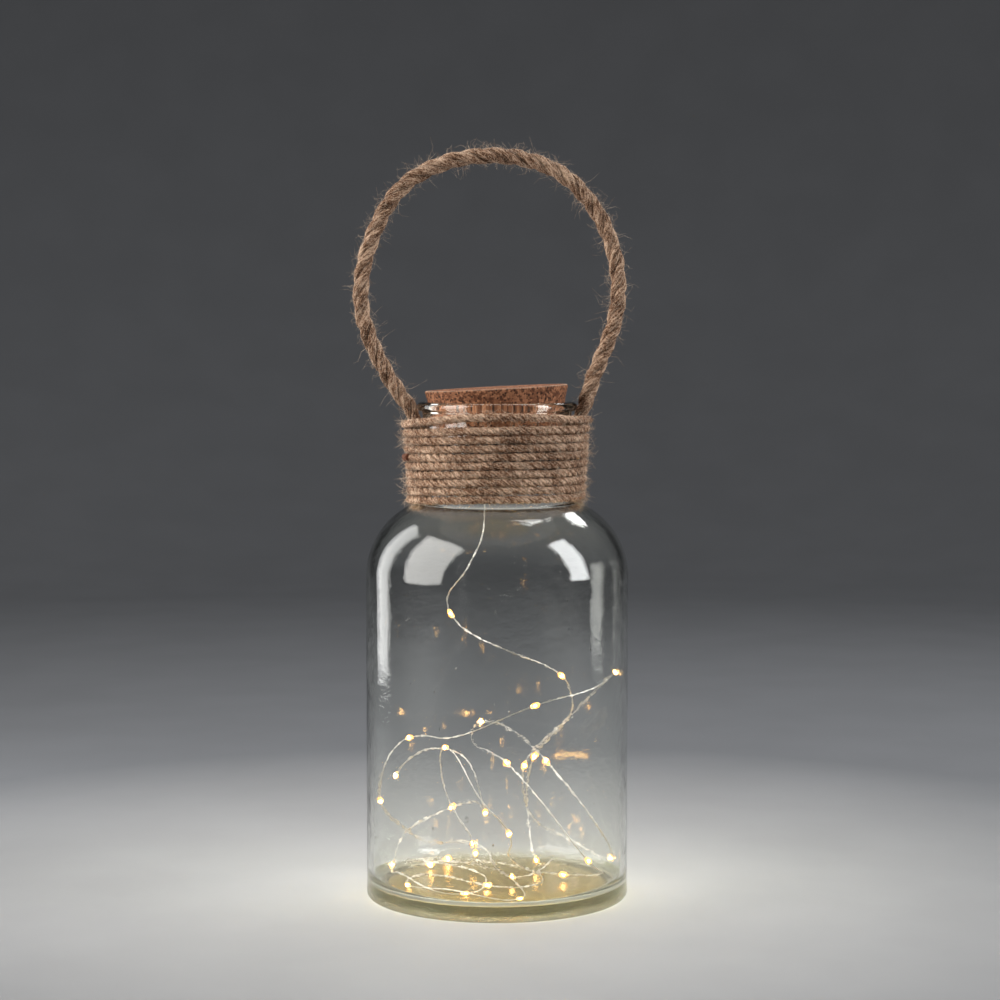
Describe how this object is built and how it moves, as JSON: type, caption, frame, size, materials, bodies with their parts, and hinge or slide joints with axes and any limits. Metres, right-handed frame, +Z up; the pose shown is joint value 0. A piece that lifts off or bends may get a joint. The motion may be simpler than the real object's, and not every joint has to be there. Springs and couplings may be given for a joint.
{
  "type": "cork bottle light",
  "caption": "Glass jar lantern with a cork stopper that holds a battery box and a string of small lights, a wound neck and a rope handle.",
  "frame": {"origin": "centre of the jar's foot, on the surface that it stands on and on the axis of the glass", "axes": "+Z up along the jar's axis, +X along the line between the two rope ends, -Y towards the side that the picture shows"},
  "size_m": [0.1433, 0.137, 0.3904],
  "materials": {
    "glass": "clear, with a faint green tint and small bubbles",
    "cork": "pressed cork granules, matt",
    "rope": "twisted jute rope with loose fibres",
    "twine": "twisted jute twine with loose fibres",
    "case_plastic": "moulded, fine grain",
    "cell_wrap": "shrink wrap over a steel can",
    "contact_metal": "nickel-plated strip",
    "board": "solder mask",
    "board_parts": "moulded chip and chip resistors",
    "switch_metal": "folded sheet",
    "knob_plastic": "moulded",
    "rubber": "soft, matt",
    "hookup": "insulated wire",
    "wire": "enamelled silvery wire, two strands",
    "drop": "clear resin",
    "light": "lit chip",
    "screws": "zinc-plated"
  },
  "bodies": {
    "jar": {"glass_jar": "glass", "neck_winding": "twine", "rope_tail_left": "rope", "rope_tail_right": "rope", "string_wire": "wire", "string_lead": "wire", "led_drops": "drop", "led_chips": "light"},
    "handle": {"rope_handle": "rope"},
    "stopper": {"cork_stopper": "cork", "battery_case": "case_plastic", "case_screws": "screws", "battery_cell_1": "cell_wrap", "battery_cell_2": "cell_wrap", "battery_cell_3": "cell_wrap", "spring_contacts": "contact_metal", "plate_contacts": "contact_metal", "circuit_board": "board", "board_parts": "board_parts", "switch_body": "switch_metal", "wire_grommet": "rubber", "hookup_wires": "hookup"},
    "cover": {"battery_cover": "case_plastic", "cover_screws": "screws"},
    "knob": {"switch_knob": "knob_plastic"}
  },
  "joints": [
    {"name": "handle_swing", "type": "hinge", "parent": "jar", "child": "handle", "pos_m": [0, 0, 0.25747], "axis": [1, 0, 0], "range_deg": [-90, 90]},
    {"name": "stopper_lift", "type": "slide", "parent": "jar", "child": "stopper", "axis": [-0.0506, 0, 0.9987], "range_m": [0, 0.06], "deforming": ["string_lead"]},
    {"name": "cover_slide", "type": "slide", "parent": "stopper", "child": "cover", "axis": [0.0506, 0, -0.9987], "range_m": [0, 0.03]},
    {"name": "switch_slide", "type": "slide", "parent": "stopper", "child": "knob", "axis": [0.9987, 0, 0.0506], "range_m": [-0.002, 0.002]}
  ]
}
